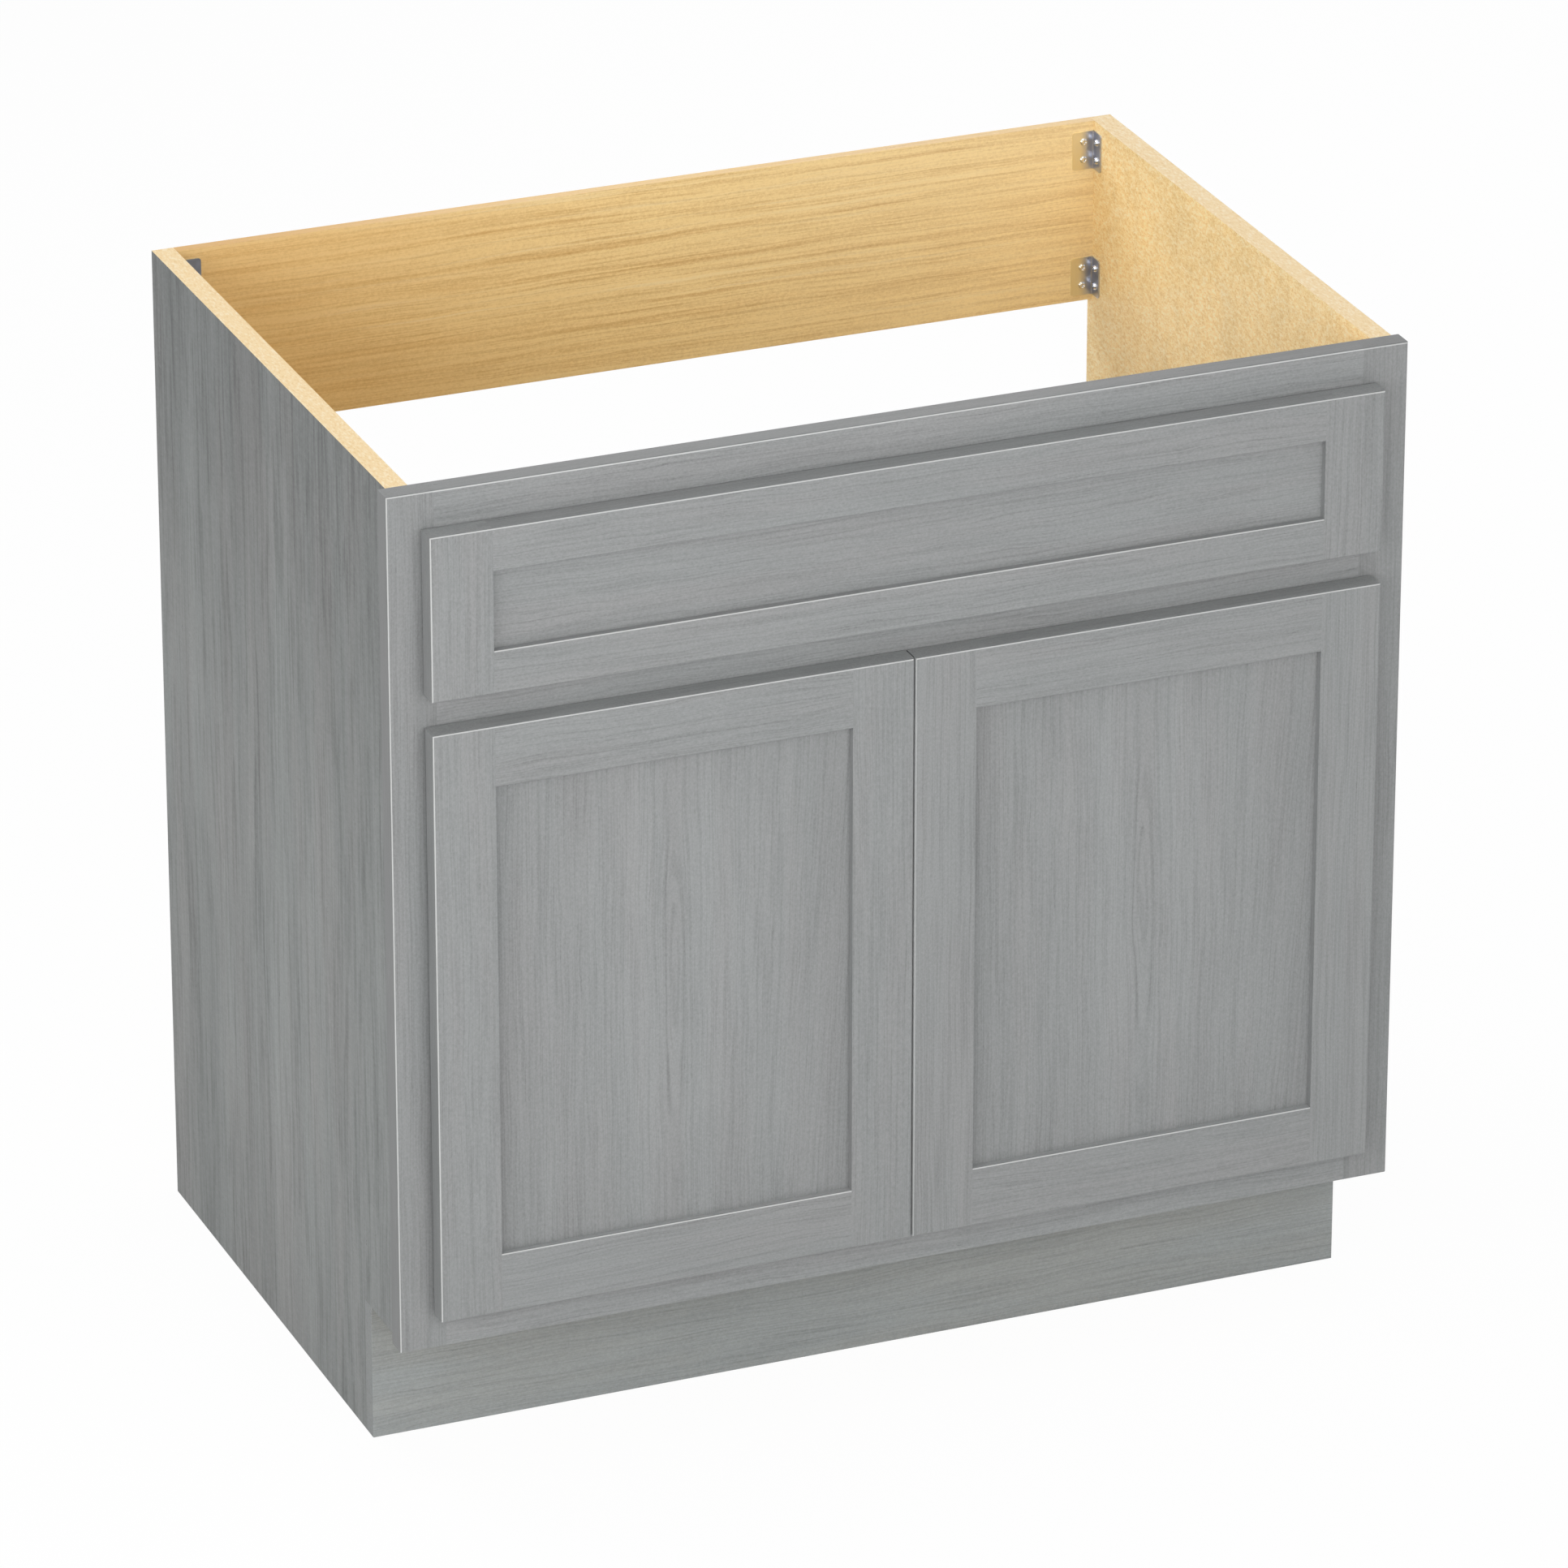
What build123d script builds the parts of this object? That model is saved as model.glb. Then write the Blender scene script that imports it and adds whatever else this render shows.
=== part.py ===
"""Sink base cabinet: a face-frame box with an open top and back, a false drawer front and two doors.

Frame: +X to the viewer's right, +Y from the front to the back, +Z up. The origin is on the floor, in the
middle of the cabinet's width and depth. The doors and the false front face -Y. Millimetres throughout.
"""

import os

from build123d import *

os.makedirs("parts", exist_ok=True)

inch = 25.4

# ---- Driving dimensions -------------------------------------------------------------------------------
width = 35.0 * inch  # across the face frame
height = 34.5 * inch  # floor to the edges that carry the worktop
depth = 606.4  # faces of the doors to the back edges of the sides
board = 0.75 * inch  # stock of the sides, the face frame, the doors and the false front
bumper_gap = 1.25  # between the face frame and whatever closes on it
bumper_radius = 4.0
bumper_clearance = 0.05  # between a bumper and the closed face frame
frame_overhang = 0.25 * inch  # of the face frame beyond each side panel
arris = 1.5  # radius of the eased outer edges
soft_arris = 0.6  # radius of the lightly sanded edges

# Toe space
toe_height = 121.5
toe_setback = 88.0  # from the front of the face frame to the toe board
toe_board_thickness = 15.0

# Face frame, doors and false front
overlay = 11.1  # of a door or the false front over the face frame
side_reveal = 28.9
top_reveal = 31.0
bottom_reveal = 31.7
middle_reveal = 28.3  # face frame that shows between the false front and the doors
false_front_height = 142.0
door_gap = 1.2  # between the two doors
door_member = 53.0  # width of door rails and hinge stiles, and of the false front's stiles
meeting_member = 53.65  # width of the stiles where the doors meet
false_front_rail = 37.0
panel_thickness = 0.25 * inch
panel_recess = 0.25 * inch
groove_depth = 9.5
panel_float = 0.5  # room for the panel to swell in its groove
frame_tenon = 12.0
tenon_thickness = 0.25 * inch
tenon_shoulder = 5.0

# Floor, back and supports
floor_thickness = 12.7
floor_groove = 0.25 * inch
floor_drop = 1.0  # of the cabinet floor below the bottom rail's upper edge
support_thickness = 12.7
back_rail_height = 6.5 * inch
back_rail_thickness = 9.5

# Corner brackets of the back rail
bracket_height = 34.5
bracket_rail_leg = 20.6
bracket_side_leg = 16.0
bracket_sheet = 1.2
bracket_bend = 2.0
bracket_corner = 2.5
bracket_top_margin = 8.8  # from the rail's upper edge to the upper bracket
bracket_bottom_margin = 5.5  # from the rail's lower edge to the lower bracket
bracket_screw_spacing = 16.4
bracket_screw_radius = 1.7
bracket_screw_length = 8.0
bracket_screw_head = (3.2, 1.8)  # radius and height, as for every screw head below

# Cleats that hold the false front
cleat_width = 24.0
cleat_thickness = 12.0
cleat_lap = 18.0  # over the rails above and below the opening
cleat_margin = 4.0  # from the face frame's stile to the cleat
cleat_screw_radius = 2.0
cleat_screw_spacing = 70.0
cleat_screw_bite = 12.0  # into the false front
cleat_screw_head = (3.8, 2.2)

# Concealed hinges. Distances across are from the door's outer edge towards the middle of the door.
hinge_inset = 85.0  # hinge centre from the door's upper or lower end
cup_centre = 20.0
cup_radius = 17.4
cup_wall = 0.8
cup_depth = 13.5
flange_thickness = 1.0
flange_width = 14.0
flange_height = 58.0
flange_corner = 6.9
rim_width = 2.0  # of the rim around the cup's bore
rim_start = 6.5  # across, where the rim is cut off so that it clears the face frame
cup_screw_across = 29.5
cup_screw_spacing = 45.0
cup_screw_radius = 1.6
cup_screw_length = 11.0
cup_screw_head = (3.3, 1.9)
pin_across = 6.3
pin_depth = 11.0  # in front of the face frame
pin_radius = 1.0
pin_length = 14.2
pin_clearance = 0.06
knuckle_radius = 1.8
arm_sheet = 1.6
arm_width = 10.4
arm_bend = 2.6
arm_crest = 22.0  # across, where the arm rounds the edge of the face frame
arm_bend_depth = 3.5  # behind the face frame's front, as are the foot and the screw
arm_foot_depth = 8.0
arm_slot_play = 0.5  # around the arm, in the cup's rim
arm_slot_across = 9.0
arm_slot_depth = 5.5
lug_thickness = 1.5
lug_span = (4.4, 9.2)  # across
lug_rise = 3.0  # behind the middle of the pin
lug_play = 0.3  # between each lug and the arm
rear_bevel = 2.0  # on the hinge edge of each door's back, so that the edge clears the face frame
plate_sheet = 1.6
plate_height = 44.0
plate_corner = 4.0
plate_front = 1.0  # from the face frame's front to the plate
plate_back = 18.5
plate_screw_spacing = 30.0
plate_screw_radius = 2.0
plate_screw_length = 16.0
plate_screw_head = (3.6, 2.0)
arm_screw_radius = 2.2
arm_screw_length = 12.0
arm_screw_depth = 14.5
arm_screw_head = (3.4, 2.0)
latch_inset = 12.0  # of each door's bumpers from its meeting edge

# Screw heads, as shares of their own size
head_taper = 25  # degrees
recess_width = 0.28  # of the head's radius
recess_depth = 0.5  # of the head's height

# ---- Places worked out from them ----------------------------------------------------------------------
front_face = -depth / 2
frame_front = front_face + board + bumper_gap
frame_back = frame_front + board
leaf_back = front_face + board  # back of the doors and of the false front
rear = depth / 2
frame_half = width / 2
side_outer = frame_half - frame_overhang
side_inner = side_outer - board
toe_board_front = frame_front + toe_setback
toe_board_back = toe_board_front + toe_board_thickness

frame_stile = side_reveal + overlay
top_rail = top_reveal + overlay
middle_rail = middle_reveal + 2 * overlay
bottom_rail = bottom_reveal + overlay
opening_half = frame_half - frame_stile

front_half = frame_half - side_reveal  # half width of the false front and of the pair of doors
false_top = height - top_reveal
false_bottom = false_top - false_front_height
door_top = false_bottom - middle_reveal
door_bottom = toe_height + bottom_reveal
door_inner = door_gap / 2

floor_top = door_bottom + overlay - floor_drop
floor_bottom = floor_top - floor_thickness
back_rail_bottom = height - back_rail_height
back_rail_face = rear - back_rail_thickness
hinge_heights = (door_bottom + hinge_inset, door_top - hinge_inset)
cleat_screw_length = cleat_thickness + board + bumper_gap + cleat_screw_bite


def export(builder, name):
    """Label a finished piece and write it to its own file."""
    builder.part.label = name
    export_step(builder.part, f"parts/{name}.step")


def fill(x, y, z, mode=Mode.ADD):
    """Add or cut a rectangular block that spans x, y and z, each a pair of limits in either order."""
    centre = [(low + high) / 2 for low, high in (x, y, z)]
    size = [abs(high - low) for low, high in (x, y, z)]
    with Locations(tuple(centre)):
        Box(*size, mode=mode)


def drill(point, direction, radius, length, mode=Mode.SUBTRACT):
    """Cut, or add as a shank, a round bar that starts at point and runs length along direction."""
    with BuildSketch(Plane(origin=point, z_dir=direction)) as section:
        Circle(radius)
    extrude(section.sketch, amount=length, mode=mode)


def edges_at(builder, **limits):
    """Edges that lie wholly on the given planes, as in edges_at(part, Y=front_face, Z=height)."""
    axes = {"X": Axis.X, "Y": Axis.Y, "Z": Axis.Z}
    chosen = builder.edges()
    for name, value in limits.items():
        chosen = chosen.filter_by_position(axes[name], value - 0.001, value + 0.001)
    return chosen


def screw_group(places, radius, length, head):
    """Identical domed, cross-recessed screws, one at each place. Each head sits on its place's point."""
    head_radius, head_height = head
    slot_width = recess_width * head_radius
    with BuildPart() as group:
        for point, direction in places:
            drill(point, direction, radius, length, Mode.ADD)
            head_plane = Plane(origin=point, z_dir=[-value for value in direction])
            with BuildSketch(head_plane) as dome:
                Circle(head_radius)
            extrude(dome.sketch, amount=head_height, taper=head_taper)
            with BuildSketch(head_plane.offset(head_height)) as recess:
                Rectangle(head_radius, slot_width)
                Rectangle(slot_width, head_radius)
            extrude(recess.sketch, amount=-recess_depth * head_height, mode=Mode.SUBTRACT)
    return group


def hinge_x(side, across):
    """x of a place that lies the given distance from the door's outer edge."""
    return side * (front_half - across)


# ---- Places of the screws, each with the direction that it is driven in --------------------------------
bracket_heights = (
    height - bracket_top_margin - bracket_height / 2,
    back_rail_bottom + bracket_bottom_margin + bracket_height / 2,
)


def bracket_screws(side, middle):
    """The four screws of one bracket: two into the back rail and two into the side panel."""
    places = []
    for up in (-1, 1):
        level = middle + up * bracket_screw_spacing / 2
        on_rail = side * (side_inner - bracket_rail_leg / 2)
        on_side = back_rail_face - bracket_side_leg / 2
        places.append(((on_rail, back_rail_face - bracket_sheet, level), (0, 1, 0)))
        places.append(((side * (side_inner - bracket_sheet), on_side, level), (side, 0, 0)))
    return places


def cleat_screws(side):
    """Two screws through a cleat, the frame's opening and into a stile of the false front."""
    across = side * (opening_half - cleat_margin - cleat_width / 2)
    back = frame_back + cleat_thickness
    middle = (false_top + false_bottom) / 2
    return [((across, back, middle + up * cleat_screw_spacing / 2), (0, -1, 0)) for up in (-1, 1)]


def cup_screws(side, level):
    """Two screws through a hinge cup's flange into the door's stile."""
    across = hinge_x(side, cup_screw_across)
    back = leaf_back + flange_thickness
    return [((across, back, level + up * cup_screw_spacing / 2), (0, -1, 0)) for up in (-1, 1)]


def plate_screws(side, level):
    """Two screws through a hinge plate into the edge of the face frame's stile."""
    across = side * (opening_half - plate_sheet)
    deep = frame_front + (plate_front + plate_back) / 2
    return [((across, deep, level + up * plate_screw_spacing / 2), (side, 0, 0)) for up in (-1, 1)]


def arm_screw(side, level):
    """The screw that fastens a hinge arm to its plate."""
    across = side * (opening_half - plate_sheet - arm_sheet)
    return (across, frame_front + arm_screw_depth, level), (side, 0, 0)


bracket_screw_places = [
    place for side in (-1, 1) for middle in bracket_heights for place in bracket_screws(side, middle)
]
cleat_screw_places = [place for side in (-1, 1) for place in cleat_screws(side)]
plate_screw_places = [
    place for side in (-1, 1) for level in hinge_heights for place in plate_screws(side, level)
]
arm_screw_places = [arm_screw(side, level) for side in (-1, 1) for level in hinge_heights]


# ---- Carcase ------------------------------------------------------------------------------------------
def side_panel(side):
    """Side panel with the toe notch and, on its inner face, a groove for the cabinet floor."""
    inner_plane = Plane.YZ.offset(side * side_inner)
    with BuildPart() as panel:
        with BuildSketch(inner_plane):
            with BuildLine():
                Polyline(
                    (toe_board_back, 0),
                    (rear, 0),
                    (rear, height),
                    (frame_back, height),
                    (frame_back, toe_height),
                    (toe_board_back, toe_height),
                    close=True,
                )
            make_face()
        extrude(amount=side * board)
        groove_span = (side * side_inner, side * (side_inner + floor_groove))
        fill(groove_span, (frame_back, rear), (floor_bottom, floor_top), Mode.SUBTRACT)
        for point, direction in bracket_screw_places:
            if direction[0] == side:
                drill(point, direction, bracket_screw_radius, bracket_screw_length)
    return panel


def floor_panel():
    """Cabinet floor, held in the side panels' grooves."""
    reach = side_inner + floor_groove
    with BuildPart() as panel:
        fill((-reach, reach), (frame_back, rear), (floor_bottom, floor_top))
    return panel


def support(front):
    """Upright board that carries the floor between the sides, with its front face at the given y."""
    with BuildPart() as upright:
        fill((-side_inner, side_inner), (front, front + support_thickness), (0, floor_bottom))
    return upright


def toe_board():
    """Board that closes the toe space and laps the front edges of both side panels."""
    with BuildPart() as panel:
        fill((-side_outer, side_outer), (toe_board_front, toe_board_back), (0, toe_height))
        fillet(edges_at(panel, Y=toe_board_front).filter_by(Axis.Z), soft_arris)
    return panel


def back_rail():
    """Thin rail across the top of the open back, through which the cabinet is screwed to the wall."""
    with BuildPart() as rail:
        fill((-side_inner, side_inner), (back_rail_face, rear), (back_rail_bottom, height))
        for point, direction in bracket_screw_places:
            if direction[1] == 1:
                drill(point, direction, bracket_screw_radius, bracket_screw_length)
    return rail


def corner_bracket(side, middle):
    """Bent sheet bracket in the corner between the back rail and a side panel."""
    near = bracket_sheet / 2
    with BuildPart() as bracket:
        with BuildSketch(Plane.XY.offset(middle - bracket_height / 2)):
            with BuildLine():
                FilletPolyline(
                    (side * (side_inner - bracket_rail_leg), back_rail_face - near),
                    (side * (side_inner - near), back_rail_face - near),
                    (side * (side_inner - near), back_rail_face - bracket_side_leg),
                    radius=bracket_bend,
                )
            trace(line_width=bracket_sheet)
        extrude(amount=bracket_height)
        rail_end = edges_at(bracket, X=side * (side_inner - bracket_rail_leg)).filter_by(Axis.Y)
        side_end = edges_at(bracket, Y=back_rail_face - bracket_side_leg).filter_by(Axis.X)
        fillet(rail_end + side_end, bracket_corner)
        for point, direction in bracket_screws(side, middle):
            drill(point, direction, bracket_screw_radius, bracket_sheet)
    return bracket


# ---- Face frame ---------------------------------------------------------------------------------------
tenon_front = frame_front + (board - tenon_thickness) / 2
tenon_span = (tenon_front, tenon_front + tenon_thickness)
frame_rails = {
    "frame_top_rail": (height - top_rail, height),
    "frame_middle_rail": (door_top - overlay, door_top - overlay + middle_rail),
    "frame_bottom_rail": (toe_height, toe_height + bottom_rail),
}


def frame_rail(bottom, top):
    """Rail of the face frame, with a stub tenon at each end."""
    reach = opening_half + frame_tenon
    with BuildPart() as rail:
        fill((-opening_half, opening_half), (frame_front, frame_back), (bottom, top))
        if top == height:
            fillet(edges_at(rail, Y=frame_front, Z=height), arris)
        if bottom == toe_height:
            fillet(edges_at(rail, Y=frame_front, Z=toe_height), soft_arris)
        fill((-reach, reach), tenon_span, (bottom + tenon_shoulder, top - tenon_shoulder))
    return rail


def frame_stile_piece(side):
    """Stile of the face frame, mortised for the rails and drilled for the hinge plates."""
    outer = side * frame_half
    inner = side * opening_half
    with BuildPart() as stile:
        fill((inner, outer), (frame_front, frame_back), (toe_height, height))
        fillet(edges_at(stile, X=outer, Y=frame_front) + edges_at(stile, Y=frame_front, Z=height), arris)
        fillet(edges_at(stile, Y=frame_front, Z=toe_height), soft_arris)
        for bottom, top in frame_rails.values():
            mortise = (bottom + tenon_shoulder, top - tenon_shoulder)
            fill((inner, inner + side * frame_tenon), tenon_span, mortise, Mode.SUBTRACT)
        for point, direction in plate_screw_places:
            if direction[0] == side:
                drill(point, direction, plate_screw_radius, plate_screw_length)
        for point, direction in arm_screw_places:
            if direction[0] == side:
                drill(point, direction, arm_screw_radius, arm_screw_length)
    return stile


# ---- Doors and false front: five pieces each, with the panel loose in its grooves ---------------------
panel_span = (front_face + panel_recess, front_face + panel_recess + panel_thickness)


def leaf_stile(outer, inner, bottom, top):
    """Upright member between the leaf's outer edge and its panel, grooved for the panel and the rails."""
    towards_panel = 1 if inner > outer else -1
    with BuildPart() as stile:
        fill((outer, inner), (front_face, leaf_back), (bottom, top))
        ends = edges_at(stile, Y=front_face, Z=bottom) + edges_at(stile, Y=front_face, Z=top)
        fillet(edges_at(stile, X=outer, Y=front_face) + ends, arris)
        groove = (inner - towards_panel * groove_depth, inner)
        fill(groove, panel_span, (bottom, top), Mode.SUBTRACT)
    return stile


def false_front_stile(side):
    """Stile of the false front, with the pilot holes of the cleat's screws."""
    stile = leaf_stile(side * front_half, side * (front_half - door_member), false_bottom, false_top)
    with BuildPart() as drilled:
        add(stile.part)
        for point, direction in cleat_screws(side):
            drill(point, direction, cleat_screw_radius, cleat_screw_length)
    return drilled


def door_hinge_stile(side):
    """Hinge stile of a door: bored for two cups, and bevelled behind so that it clears the face frame."""
    outer = side * front_half
    stile = leaf_stile(outer, side * (front_half - door_member), door_bottom, door_top)
    with BuildPart() as bored:
        add(stile.part)
        chamfer(edges_at(bored, X=outer, Y=leaf_back), rear_bevel)
        for level in hinge_heights:
            drill((hinge_x(side, cup_centre), leaf_back, level), (0, -1, 0), cup_radius, cup_depth)
            for point, direction in cup_screws(side, level):
                drill(point, direction, cup_screw_radius, cup_screw_length)
    return bored


def leaf_rail(left, right, bottom, top, upper):
    """Level member between two stiles, with stub tenons in their grooves and a groove for the panel."""
    groove = (bottom, bottom + groove_depth) if upper else (top - groove_depth, top)
    with BuildPart() as rail:
        fill((left, right), (front_face, leaf_back), (bottom, top))
        fillet(edges_at(rail, Y=front_face, Z=bottom) + edges_at(rail, Y=front_face, Z=top), arris)
        fill((left - groove_depth, right + groove_depth), panel_span, (bottom, top))
        fill((left - groove_depth, right + groove_depth), panel_span, groove, Mode.SUBTRACT)
    return rail


def leaf_panel(left, right, bottom, top):
    """Flat panel that reaches into the grooves around the given opening."""
    reach = groove_depth - panel_float
    with BuildPart() as panel:
        fill((left - reach, right + reach), panel_span, (bottom - reach, top + reach))
    return panel


def bumpers(points):
    """Soft bumpers, one disc at each (x, z), stuck to the back of a door or of the false front."""
    with BuildPart() as discs:
        for across, level in points:
            thickness = bumper_gap - bumper_clearance
            drill((across, leaf_back, level), (0, 1, 0), bumper_radius, thickness, Mode.ADD)
    return discs


def cleat(side):
    """Batten behind the face frame, across its opening, that holds one end of the false front."""
    places = cleat_screws(side)
    inner = side * (opening_half - cleat_margin - cleat_width)
    outer = side * (opening_half - cleat_margin)
    bottom, top = false_bottom + overlay - cleat_lap, false_top - overlay + cleat_lap
    with BuildPart() as batten:
        fill((inner, outer), (frame_back, frame_back + cleat_thickness), (bottom, top))
        for point, direction in places:
            drill(point, direction, cleat_screw_radius, cleat_thickness)
    return batten


# ---- Hinges -------------------------------------------------------------------------------------------
def hinge_cup(side, level):
    """Pressed cup, let into the door's stile, with a screw flange and two lugs for the hinge pin."""
    middle = hinge_x(side, cup_centre)
    pin_y = frame_front - pin_depth
    rim = (leaf_back, leaf_back + flange_thickness)
    lug_inner = arm_width / 2 + lug_play
    slot_half = arm_width / 2 + arm_slot_play
    with BuildPart() as cup:
        drill((middle, leaf_back, level), (0, -1, 0), cup_radius, cup_depth, Mode.ADD)
        drill((middle, leaf_back, level), (0, 1, 0), cup_radius + rim_width, flange_thickness, Mode.ADD)
        fill((hinge_x(side, 0), hinge_x(side, rim_start)), rim, (level - cup_radius, level + cup_radius),
             Mode.SUBTRACT)
        flange_middle = (hinge_x(side, cup_screw_across), leaf_back, level)
        with BuildSketch(Plane(origin=flange_middle, x_dir=(1, 0, 0), z_dir=(0, 1, 0))):
            RectangleRounded(flange_width, flange_height, flange_corner)
        extrude(amount=flange_thickness)
        drill((middle, rim[1], level), (0, -1, 0), cup_radius - cup_wall,
              cup_depth + flange_thickness - cup_wall)
        for up in (-1, 1):
            lug = (level + up * lug_inner, level + up * (lug_inner + lug_thickness))
            across = [hinge_x(side, edge) for edge in lug_span]
            fill(across, (leaf_back - cup_depth, pin_y + lug_rise), lug)
        fill((hinge_x(side, 0), hinge_x(side, arm_slot_across)), (leaf_back - arm_slot_depth, rim[1]),
             (level - slot_half, level + slot_half), Mode.SUBTRACT)
        drill((hinge_x(side, pin_across), pin_y, level - pin_length / 2), (0, 0, 1), pin_radius, pin_length)
        for point, direction in cup_screws(side, level):
            drill(point, direction, cup_screw_radius, flange_thickness)
    return cup


def hinge_arm(side, level):
    """Goose-neck arm of bent sheet, from its knuckle on the pin to its foot on the hinge plate."""
    pin_y = frame_front - pin_depth
    strip = arm_sheet / 2
    start = pin_y - knuckle_radius + strip
    foot = hinge_x(side, overlay + plate_sheet + strip)
    crest = hinge_x(side, arm_crest)
    with BuildPart() as arm:
        with BuildSketch(Plane.XY.offset(level - arm_width / 2)):
            with BuildLine():
                FilletPolyline(
                    (hinge_x(side, pin_across), start),
                    (crest, start),
                    (crest, frame_front + arm_bend_depth),
                    (foot, frame_front + arm_foot_depth),
                    (foot, frame_front + plate_back),
                    radius=arm_bend,
                )
            trace(line_width=arm_sheet)
        extrude(amount=arm_width)
        bottom = (hinge_x(side, pin_across), pin_y, level - arm_width / 2)
        drill(bottom, (0, 0, 1), knuckle_radius, arm_width, Mode.ADD)
        drill(bottom, (0, 0, 1), pin_radius + pin_clearance, arm_width)
        point, direction = arm_screw(side, level)
        drill(point, direction, arm_screw_radius, arm_sheet)
    return arm


def hinge_plate(side, level):
    """Plate screwed to the inner edge of the face frame's stile."""
    low, high = frame_front + plate_front, frame_front + plate_back
    with BuildPart() as plate:
        fill((side * opening_half, side * (opening_half - plate_sheet)), (low, high),
             (level - plate_height / 2, level + plate_height / 2))
        fillet(plate.edges().filter_by(Axis.X), plate_corner)
        for point, direction in plate_screws(side, level):
            drill(point, direction, plate_screw_radius, plate_sheet)
        point, direction = arm_screw(side, level)
        drill(point, direction, arm_screw_radius, plate_sheet + arm_sheet)
    return plate


def hinge_pins(side):
    """The pins of one door's two hinges."""
    with BuildPart() as pins:
        for level in hinge_heights:
            start = (hinge_x(side, pin_across), frame_front - pin_depth, level - pin_length / 2)
            drill(start, (0, 0, 1), pin_radius, pin_length, Mode.ADD)
    return pins


# ---- Build and write every piece ----------------------------------------------------------------------
hands = (("left", -1), ("right", 1))

for hand, side in hands:
    export(side_panel(side), f"{hand}_side_panel")
export(floor_panel(), "floor_panel")
export(support(toe_board_back), "front_floor_support")
export(support(rear - support_thickness), "rear_floor_support")
export(toe_board(), "toe_board")
export(back_rail(), "back_rail")

for hand, side in hands:
    for level_name, middle in zip(("upper", "lower"), bracket_heights):
        export(corner_bracket(side, middle), f"{hand}_{level_name}_corner_bracket")

for name, (bottom, top) in frame_rails.items():
    export(frame_rail(bottom, top), name)
for hand, side in hands:
    export(frame_stile_piece(side), f"frame_{hand}_stile")

# False front
for hand, side in hands:
    export(false_front_stile(side), f"false_front_{hand}_stile")
    export(cleat(side), f"false_front_{hand}_cleat")
false_inner = front_half - door_member
upper_span = (false_top - false_front_rail, false_top)
lower_span = (false_bottom, false_bottom + false_front_rail)
export(leaf_rail(-false_inner, false_inner, *upper_span, True), "false_front_upper_rail")
export(leaf_rail(-false_inner, false_inner, *lower_span, False), "false_front_lower_rail")
export(leaf_panel(-false_inner, false_inner, lower_span[1], upper_span[0]), "false_front_panel")

corner_x = front_half - overlay / 2
corner_levels = (false_bottom + overlay / 2, false_top - overlay / 2)
export(bumpers([(side * corner_x, level) for side in (-1, 1) for level in corner_levels]),
       "false_front_bumpers")

# Doors
upper_span = (door_top - door_member, door_top)
lower_span = (door_bottom, door_bottom + door_member)
for hand, side in hands:
    export(door_hinge_stile(side), f"{hand}_door_hinge_stile")
    hinge_inner, meeting_inner = side * (front_half - door_member), side * (door_inner + meeting_member)
    meeting_stile = leaf_stile(side * door_inner, meeting_inner, door_bottom, door_top)
    export(meeting_stile, f"{hand}_door_meeting_stile")
    left_edge, right_edge = sorted((hinge_inner, meeting_inner))
    export(leaf_rail(left_edge, right_edge, *upper_span, True), f"{hand}_door_upper_rail")
    export(leaf_rail(left_edge, right_edge, *lower_span, False), f"{hand}_door_lower_rail")
    export(leaf_panel(left_edge, right_edge, lower_span[1], upper_span[0]), f"{hand}_door_panel")
    latch_x = side * (door_inner + latch_inset)
    latch_levels = (door_bottom + overlay / 2, door_top - overlay / 2)
    export(bumpers([(latch_x, level) for level in latch_levels]), f"{hand}_door_bumpers")

# Hinges
for hand, side in hands:
    for level_name, level in zip(("lower", "upper"), hinge_heights):
        export(hinge_cup(side, level), f"{hand}_{level_name}_hinge_cup")
        export(hinge_arm(side, level), f"{hand}_{level_name}_hinge_arm")
        export(hinge_plate(side, level), f"{hand}_{level_name}_hinge_plate")
    export(hinge_pins(side), f"{hand}_hinge_pins")
    cup_screw_places = [place for level in hinge_heights for place in cup_screws(side, level)]
    export(screw_group(cup_screw_places, cup_screw_radius, cup_screw_length, cup_screw_head),
           f"{hand}_hinge_cup_screws")

# Fasteners of the carcase, the false front and the fixed halves of the hinges
fasteners = {
    "corner_bracket_screws":
        (bracket_screw_places, bracket_screw_radius, bracket_screw_length, bracket_screw_head),
    "cleat_screws": (cleat_screw_places, cleat_screw_radius, cleat_screw_length, cleat_screw_head),
    "hinge_plate_screws": (plate_screw_places, plate_screw_radius, plate_screw_length, plate_screw_head),
    "hinge_arm_screws": (arm_screw_places, arm_screw_radius, arm_screw_length, arm_screw_head),
}
for name, measures in fasteners.items():
    export(screw_group(*measures), name)
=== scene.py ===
"""Looks of the sink base cabinet: grey paint and laminate outside, light maple inside, plated fittings.

Metres, in the cabinet's own frame: +X to the viewer's right, +Y towards the wall, +Z up, floor at z = 0.
"""

import math

import bpy
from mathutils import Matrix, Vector


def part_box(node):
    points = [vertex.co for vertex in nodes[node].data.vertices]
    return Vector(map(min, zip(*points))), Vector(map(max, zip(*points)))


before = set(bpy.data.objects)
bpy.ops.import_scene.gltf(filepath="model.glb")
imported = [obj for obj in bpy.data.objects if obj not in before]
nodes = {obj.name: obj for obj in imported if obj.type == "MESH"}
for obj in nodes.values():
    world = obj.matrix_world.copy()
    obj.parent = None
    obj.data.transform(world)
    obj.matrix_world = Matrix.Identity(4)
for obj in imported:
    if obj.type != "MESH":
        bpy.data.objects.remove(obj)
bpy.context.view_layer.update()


# ---- Colours ------------------------------------------------------------------------------------------
def srgb(red, green, blue):
    """A colour as it looks on a screen, 0 to 255, turned into the light that it stands for."""
    def linear(value):
        share = value / 255
        return share / 12.92 if share <= 0.04045 else ((share + 0.055) / 1.055) ** 2.4
    return (linear(red), linear(green), linear(blue), 1.0)


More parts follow.
